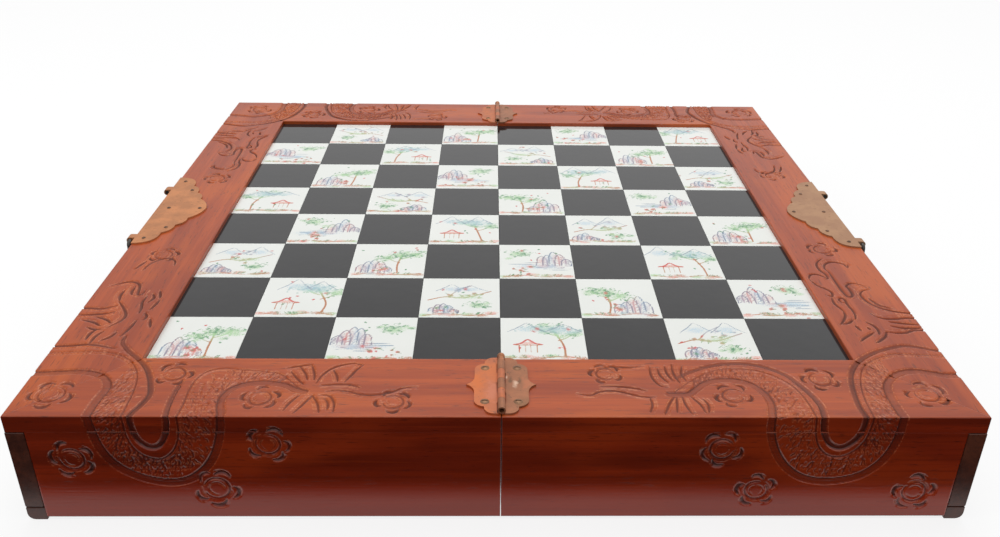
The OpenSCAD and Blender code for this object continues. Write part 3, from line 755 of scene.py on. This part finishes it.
class Tile:
    """One square's picture: pigments laid on a grid of points, in millimetres from its low left corner.

    Across is the way along the picture, which runs from the right on a mirrored one."""

    def __init__(self, size, mirrored):
        line = np.linspace(0, size, tile_cells + 1)
        self.x, self.y = np.meshgrid(line, line)
        self.across = size - self.x if mirrored else self.x
        self.size = size
        self.colour = np.ones((tile_cells + 1, tile_cells + 1, 3)) * 0.8
        self.amount = np.zeros((tile_cells + 1, tile_cells + 1))

    def lay(self, amount, pigment):
        """Adds a pigment, weighed against what lies there by amount."""
        amount = np.clip(amount, 0, 1)
        weight = (amount / (amount + 0.35 * self.amount + 1e-6))[..., None]
        self.colour = self.colour * (1 - weight) + np.array(pigment) * weight
        self.amount = np.maximum(self.amount, amount)

    def wash(self, x, y, wide, tall, strength, pigment, turn=0.0):
        """A soft oval patch of thin colour."""
        c, s = math.cos(turn), math.sin(turn)
        u = ((self.across - x) * c + (self.y - y) * s) / wide
        v = (-(self.across - x) * s + (self.y - y) * c) / tall
        self.lay(strength * np.exp(-(u * u + v * v) ** 1.5), pigment)

    def line(self, points, width, strength, pigment):
        """A brush line through the points, full at its middle."""
        path = smooth_path(points, 1.2)
        away = np.full(self.x.shape, 99.0)
        for start, end in zip(path[:-1], path[1:]):
            run = end - start
            from_x, from_y = self.across - start[0], self.y - start[1]
            t = np.clip((from_x * run[0] + from_y * run[1]) / max(run @ run, 1e-9), 0, 1)
            np.minimum(away, np.hypot(from_x - t * run[0], from_y - t * run[1]), out=away)
        self.lay(strength * np.clip(1.3 - away / width, 0, 1), pigment)


def crown(tile, chance, x, y, reach):
    """A cloud of leaves: a stippled pale wash, dark touches, and scalloped strokes along its edge."""
    tile.wash(x, y, reach, 0.62 * reach, 0.56, leaf_green)
    for _ in range(5):
        dx, dy = chance.normal(0, 0.45 * reach, 2)
        tile.wash(x + dx, y + 0.6 * dy, 0.5 * reach, 0.3 * reach, 0.52, leaf_green, chance.uniform(-0.5, 0.5))
    for _ in range(int(2.2 * reach)):
        dx, dy = chance.normal(0, 0.5 * reach, 2)
        tile.wash(x + dx, y + 0.6 * dy, 1.2, 0.7, 0.72, deep_green, chance.uniform(-0.9, 0.9))
    for k in range(5):
        turn = math.radians(20 + 35 * k + chance.uniform(-12, 12))
        px, py = x + reach * math.cos(turn), y + 0.6 * reach * math.sin(turn)
        tile.line([(px - 1.6, py - 0.6), (px, py + 0.8), (px + 1.6, py - 0.6)], 0.32, 0.7, deep_green)


def tree(tile, chance, x, y, height, lean, reach):
    """A crooked trunk with two boughs, and a crown at the end of each."""
    top = (x + lean, y + height)
    bend = (x + 0.1 * lean + chance.normal(0, 1), y + 0.4 * height)
    tile.line([(x, y), bend, top], 0.75, 0.95, earth_brown)
    for share, side, size in ((0.55, -1, 0.75), (0.75, 1, 0.8)):
        px, py = x + share * lean, y + share * height
        tip = (px + side * 0.85 * reach, py + 0.28 * height)
        tile.line([(px, py), ((px + tip[0]) / 2, py + 0.1 * height), tip], 0.5, 0.85, earth_brown)
        crown(tile, chance, *tip, size * reach)
    crown(tile, chance, *top, reach)


def flowers(tile, chance, x, y, spread, count):
    """Open red blooms with pale edges and narrow leaves between them."""
    for _ in range(count):
        px, py = x + chance.normal(0, spread), y + chance.normal(0, 0.7 * spread)
        size = chance.uniform(0.7, 1.5)
        tile.wash(px, py, 2.0 * size, 1.6 * size, 0.62, blossom_pink, chance.uniform(0, 3))
        tile.wash(px, py, 1.1 * size, 0.9 * size, 0.95, blossom_red)
        way = chance.uniform(0, 6.28)
        tile.line([(px, py), (px + 3 * math.cos(way), py + 3 * math.sin(way))], 0.5, 0.7, deep_green)


def boulders(tile, chance, x, y, wide, tall):
    """A heap of rocks: round-shouldered outlines with a thin tint and close strokes down one side."""
    for k in range(5):
        share = (k + 0.5) / 5
        px = x + (share - 0.5) * wide
        high = tall * (1 - 1.3 * abs(share - 0.45)) * chance.uniform(0.8, 1.1)
        half = wide * 0.17
        tint = (rock_mauve, water_blue, blossom_pink)[(k + int(x)) % 3]
        tile.wash(px, y + high / 2, half * 1.2, high * 0.6, 0.5, tint)
        shoulders = ((-1, 0), (-0.8, 0.7), (0, 1), (1, 0.6), (1, 0))
        tile.line([(px + a * half, y + b * high) for a, b in shoulders], 0.45, 0.9, rock_grey)
        for row in range(4):
            sy = y + high * (0.2 + 0.18 * row)
            tile.line([(px + 0.2 * half, sy), (px + 0.8 * half, sy - 1.8)], 0.34, 0.75, rock_grey)


def hills(tile, chance, y):
    """Two far hills: a broken blue outline over a fading wash."""
    for k in range(2):
        px, high = tile.size * (0.3 + 0.4 * k) + chance.uniform(-4, 4), chance.uniform(7, 13)
        tile.wash(px, y + 0.3 * high, 9, 0.5 * high, 0.5, water_blue)
        ridge = ((-10, 0), (-4, 0.6), (0, 1), (5, 0.5), (11, 0))
        tile.line([(px + a, y + b * high) for a, b in ridge], 0.4, 0.75, rock_grey)


def water(tile, chance, y, wide):
    """Still water: a thin blue wash under broken level lines."""
    x = tile.size * chance.uniform(0.35, 0.65)
    tile.wash(x, y, wide * 0.6, 4.6, 0.56, water_blue)
    for k in range(6):
        start = x + chance.uniform(-0.6, 0.1) * wide
        level = y - 5 + 2 * k
        ripple = [(start, level), (start + 0.3 * wide, level + 0.4), (start + 0.5 * wide, level)]
        tile.line(ripple, 0.36, 0.75, rock_grey)


def fence(tile, x, y, wide):
    """A low garden fence of crossed slats between two rails."""
    for rise in (0, 2.1, 4.2):
        tile.line([(x, y + rise), (x + wide, y + rise)], 0.36, 0.85, rock_grey)
    for k in range(int(wide / 2.0)):
        tile.line([(x + 2 * k, y), (x + 2 * k, y + 4.2)], 0.32, 0.75, rock_grey)


def pavilion(tile, x, y):
    """A small open summerhouse with an upturned roof."""
    tile.wash(x, y + 9, 7, 2.6, 0.55, blossom_pink)
    roof = [(x - 8, y + 7.8), (x - 4, y + 9), (x, y + 13), (x + 4, y + 9), (x + 8, y + 7.8)]
    tile.line(roof, 0.7, 0.95, blossom_red)
    tile.line([(x - 7, y + 7.4), (x + 7, y + 7.4)], 0.45, 0.85, earth_brown)
    for post in (-5, -1.7, 1.7, 5):
        tile.line([(x + post, y), (x + post, y + 7.2)], 0.42, 0.85, earth_brown)


def ground(tile, chance, y):
    """A bank along the foot: earth and green washes, a broken outline and tufts of grass."""
    for k in range(6):
        x = (k + chance.uniform(0.2, 0.8)) * tile.size / 6
        tint = (blossom_pink, leaf_green, earth_brown)[(k + int(3 * y)) % 3]
        tile.wash(x, y + chance.normal(0, 0.8), 6.5, 2.8, 0.56, tint)
    for _ in range(12):
        x = chance.uniform(3, tile.size - 5)
        tile.line([(x, y), (x + 1.2, y + 2.4)], 0.36, 0.75, deep_green)
    tile.line([(2, y - 1.5), (14, y + 1), (28, y - 1.2), (tile.size - 2, y + 0.5)], 0.45, 0.85, earth_brown)


def picture(size, seed):
    """One of eight garden scenes, placed and mirrored by chance."""
    chance = np.random.default_rng(seed)
    tile = Tile(size, chance.random() < 0.5)
    scene = seed % 8
    left, low = chance.uniform(9, 14), chance.uniform(5, 8)
    ground(tile, chance, low - 2)
    if scene in (0, 5):
        boulders(tile, chance, left + 3, low, 20, 22)
        tree(tile, chance, size - 17, low, 24, chance.uniform(-3, 3), 10)
        flowers(tile, chance, left + 10, low + 4, 3, 4)
    if scene in (1, 6):
        tree(tile, chance, left, low, 27, 6, 11)
        pavilion(tile, size - 15, low + 3)
        hills(tile, chance, 32)
    if scene in (2, 7):
        flowers(tile, chance, size * 0.5, 27, 8, 11)
        tile.line([(4, 20), (14, 24), (26, 23), (size - 5, 31)], 0.6, 0.9, earth_brown)
        tile.line([(16, 24), (22, 32), (30, 38)], 0.5, 0.85, earth_brown)
        crown(tile, chance, size - 13, 14, 8)
        boulders(tile, chance, left + 2, low, 16, 11)
    if scene == 3:
        water(tile, chance, 16, 36)
        boulders(tile, chance, size - 12, 18, 20, 21)
        crown(tile, chance, 13, 34, 10)
        flowers(tile, chance, 16, 10, 6, 7)
    if scene in (4, 6):
        fence(tile, left + 8, low + 2, size - left - 12)
        tree(tile, chance, left - 1, low, 26, 2, 9)
        flowers(tile, chance, size - 14, 30, 4, 5)
    if scene in (4, 7):
        hills(tile, chance, 31)
        tile.wash(size * 0.6, 24, 12, 4, 0.5, leaf_green)
    for _ in range(6):
        x, y = chance.uniform(5, size - 5, 2)
        tile.wash(x, y, 1.5, 1.0, 0.7, (blossom_red, deep_green)[int(x) % 2], chance.uniform(0, 3))
    return tile


tile_gap = 0.1
tile_low, tile_high = (corner.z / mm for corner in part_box("right_light_squares"))
pitch = rail_inner / 4


def painted_tile(column, row):
    """A tile's shell and its paint: the picture on top, the glaze turned over the rim and down the sides."""
    tile = picture(pitch - tile_gap, 7 * column + 13 * row + 5)
    low_x, low_y = -rail_inner + column * pitch + tile_gap / 2, -rail_inner + row * pitch + tile_gap / 2
    ease = 0.25
    scale = 1 - 2 * ease / tile.size
    x = low_x + ease + tile.x * scale
    y = low_y + ease + tile.y * scale
    top = np.stack([x, y, np.full(x.shape, tile_high)], axis=-1)
    cells = tile_cells + 1
    index = np.arange(cells * cells).reshape(cells, cells)
    rim = np.concatenate([index[0, :-1], index[:-1, -1], index[-1, :0:-1], index[:0:-1, 0]])
    middle = np.array([low_x + tile.size / 2, low_y + tile.size / 2, 0])
    edge = top.reshape(-1, 3)[rim]
    rings = [edge]
    for grow, drop in ((0.7, 0.08), (1.0, 0.3), (1.0, tile_high - tile_low)):
        spread = 1 + grow * 2 * ease / (tile.size * scale)
        rings.append((edge - middle) * (spread, spread, 0) + middle + (0, 0, tile_high - drop))
    skirt = np.stack(rings)
    count = len(rim)
    faces = grid_faces(4, count, True)
    joined = np.concatenate([rim, cells * cells + np.arange(3 * count)])
    points = np.concatenate([top.reshape(-1, 3), skirt[1:].reshape(-1, 3), [middle + (0, 0, tile_low)]])
    base = cells * cells + 2 * count + np.arange(count)
    fan = np.stack([base, np.roll(base, -1), np.full(count, len(points) - 1)], axis=1)
    paint = np.concatenate([tile.colour.reshape(-1, 3), tile.amount.reshape(-1, 1)], axis=1)
    bare = np.tile([0.85, 0.85, 0.8, 0.0], (len(points) - len(paint), 1))
    return (points, [grid_faces(cells, cells, False), joined[faces], fan]), np.concatenate([paint, bare])


for side_name, columns in (("right", range(4, 8)), ("left", range(4))):
    tiles = [painted_tile(column, row) for column in columns for row in range(8) if (column + row) % 2 == 0]
    piece = make(f"painted_{side_name}_squares", [patch for patch, _ in tiles], enamel, side_name + "_half",
                 [f"{side_name}_light_squares"])
    layer = piece.data.attributes.new("paint", "FLOAT_COLOR", "POINT")
    layer.data.foreach_set("color", np.concatenate([paint for _, paint in tiles]).astype(np.float32).ravel())
    edges = piece.modifiers.new("crisp rims", "WEIGHTED_NORMAL")
    edges.keep_sharp = True

# The hinges: butterfly leaves of thin brass rolled round a pin, one near and one far, held
# with slotted screws. The left leaves have gone coppery, the right ones brown and rubbed pale.


def brass(name, bright, dull, spots, patches=(), metal=0.85, gloss=0.38, cloudy=110):
    """Old sheet brass: cloudy tarnish, small dark spots, and patches where it is stained or worn.

    A patch is a place, its reach, how far it is stretched along the box, and its colour."""
    shader = Shader(bpy.data.materials.new(name))
    place = shader.place()
    cloud = shader.step(shader.noise(place, cloudy, 4, 0.6), 0.38, 0.66)
    grain = shader.noise(place, 900, 3, 0.6)
    speck = shader.step(shader.noise(place, 420, 2, 0.6, (1, 1, 1), (4, 1, 8)), 0.62, 0.72)
    colour = shader.mix(cloud, dull, bright)
    colour = shader.mix(speck * 0.55, colour, spots)
    for centre, reach, stretch, stain in patches:
        offset = shader.node("VectorMath", {"operation": "SUBTRACT"}, {0: place, 1: centre})
        offset = shader.node("VectorMath", {"operation": "MULTIPLY"}, {0: offset, 1: (1, 1 / stretch, 0)})
        away = shader.node("VectorMath", {"operation": "LENGTH"}, {0: offset}, output="Value")
        ragged = reach - away + (shader.noise(place, 260, 3, 0.7) - 0.5) * reach * 2.2
        colour = shader.mix(shader.step(ragged, 0, 0.9 * reach) * 0.75, colour, stain)
    bump = shader.node("Bump", None, {"Height": grain - speck, "Strength": 0.12, "Distance": 0.0003})
    rough = gloss + speck * 0.2 + grain * 0.1
    shine = metal - speck * 0.4
    return shader.cover({"Base Color": colour, "Metallic": shine, "Roughness": rough, "Normal": bump})


hinge_y = (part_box("near_hinge_left_leaf")[0].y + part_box("near_hinge_left_leaf")[1].y) / 2
cream, olive, copper_pink = (0.74, 0.52, 0.38), (0.14, 0.075, 0.038), (0.60, 0.21, 0.12)
left_patches = [((-0.004, hinge_y - 0.006, 0), 0.006, 2.0, copper_pink),
                ((-0.012, hinge_y + 0.002, 0), 0.005, 2.5, (0.64, 0.17, 0.045))]
right_patches = [((0.0045, hinge_y + 0.004, 0), 0.0016, 2.6, olive),
                 ((0.0095, hinge_y + 0.003, 0), 0.0016, 2.6, olive),
                 ((0.0072, hinge_y + 0.0005, 0), 0.0017, 2.3, cream),
                 ((0.0025, hinge_y + 0.006, 0), 0.0012, 1.5, cream),
                 ((0.011, hinge_y - 0.017, 0), 0.005, 1.2, (0.26, 0.125, 0.06)),
                 ((0.013, hinge_y + 0.002, 0), 0.004, 2.2, (0.50, 0.17, 0.08))]
copper_leaf = brass("copper_leaf", (0.60, 0.175, 0.060), (0.50, 0.155, 0.070), (0.20, 0.07, 0.035),
                    left_patches, metal=0.5)
brown_leaf = brass("brown_leaf", (0.42, 0.165, 0.080), (0.33, 0.135, 0.068), (0.12, 0.06, 0.035),
                   right_patches, metal=0.5)
pin_brass = brass("pin_brass", (0.56, 0.22, 0.09), (0.30, 0.13, 0.07), (0.08, 0.04, 0.025), metal=0.6)
screw_brass = brass("screw_brass", (0.34, 0.17, 0.08), (0.22, 0.12, 0.07), (0.07, 0.04, 0.03), metal=0.6)
for end_name in ("near", "far"):
    finish_node(f"{end_name}_hinge_left_leaf", copper_leaf)
    finish_node(f"{end_name}_hinge_right_leaf", brown_leaf)
    finish_node(f"{end_name}_hinge_pin", pin_brass)
for side_name in ("right", "left"):
    finish_node(f"{side_name}_hinge_screws", screw_brass)

# The carrying handles: a half butterfly plate nailed on each side of the frame, its edge curled
# into two knuckles, and a bent wire bail that hangs from them.
plate_wear = {"metal": 0.5, "gloss": 0.42, "cloudy": 60}
plate_brass = {
    "right": brass("khaki_plate", (0.47, 0.26, 0.14), (0.40, 0.21, 0.115), (0.24, 0.12, 0.06), **plate_wear),
    "left": brass("copper_plate", (0.66, 0.27, 0.11), (0.50, 0.21, 0.09), (0.24, 0.10, 0.05), **plate_wear)}
nail_brass = brass("nail_brass", (0.20, 0.10, 0.055), (0.11, 0.06, 0.035), (0.05, 0.03, 0.02), metal=0.6)
bail_brass = brass("bail_brass", (0.11, 0.10, 0.09), (0.055, 0.05, 0.048), (0.03, 0.025, 0.02), metal=0.7)
for side_name in ("right", "left"):
    finish_node(f"{side_name}_handle_plate", plate_brass[side_name])
    finish_node(f"{side_name}_plate_nails", nail_brass)
    finish_node(f"{side_name}_handle", bail_brass)

# The drawers: two in each end, either side of the stile. A dark front, a plain tray with three
# dividers glued in, red cloth on its floor, and a turned brass knob.
inside_wood = wood("tray_wood", "x", gloss=0.55, scale=0.7, **plain_tones)
knob_brass = brass("knob_brass", (0.66, 0.40, 0.17), (0.48, 0.28, 0.12), (0.20, 0.11, 0.05), metal=0.9,
                   gloss=0.28)

cloth = Shader(bpy.data.materials.new("red_cloth"))
place = cloth.place()
nap = cloth.noise(place, 2200, 3, 0.7)
worn = cloth.step(cloth.noise(place, 30, 3), 0.4, 0.75)
colour = cloth.mix(nap, (0.26, 0.022, 0.020), (0.42, 0.045, 0.038))
colour = cloth.mix(worn * 0.35, colour, (0.46, 0.10, 0.075))
weave = cloth.node("Bump", None, {"Height": nap, "Strength": 0.4, "Distance": 0.0004})
felt = cloth.cover({"Base Color": colour, "Roughness": 0.95, "Normal": weave, "Sheen Weight": 0.35,
                    "Sheen Roughness": 0.5})

for side_name in ("right", "left"):
    for end_name in ("near", "far"):
        drawer = f"{side_name}_{end_name}"
        body = f"{drawer}_drawer"
        board(f"{drawer}_front", end_wood, body, (0.5, 0.5, 0.5, 0.5), 2.5)
        finish_node(f"{drawer}_tray", inside_wood)
        finish_node(f"{drawer}_dividers", inside_wood)

        finish_node(f"{drawer}_knob", knob_brass)

        # The cloth lies on the tray's floor, not quite flat, with a soft cut edge. Its top waves:
        # a sine of the way across and along the drawer, times another that runs the other way.
        low, high = (np.array(corner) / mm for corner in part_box(f"{drawer}_lining"))
        margin = 0.5
        wave = 0.12
        long, wide, thick = high - low - (2 * margin, 2 * margin, 0.25)
        outline, _ = section(long, thick, (2.0, 0.5, 2.0, 0.5), (0.3,) * 4, 2)
        rows = 72
        lie = np.linspace(low[1] + margin, high[1] - margin, rows)[:, None]
        waves = wave * np.sin(outline[:, 0] / 9 + lie / 14) * np.sin(lie / 11 - outline[:, 0] / 17)
        lift = np.clip(outline[:, 1] / outline[:, 1].max(), 0, 1) * waves
        points = np.stack([low[0] + margin + outline[:, 0] + 0 * lie, lie + 0 * outline[:, 0],
                           low[2] + wave + outline[:, 1] + lift], axis=-1)
        lining = make(f"cloth_{drawer}", [tube(points)], felt, body, [f"{drawer}_lining"])
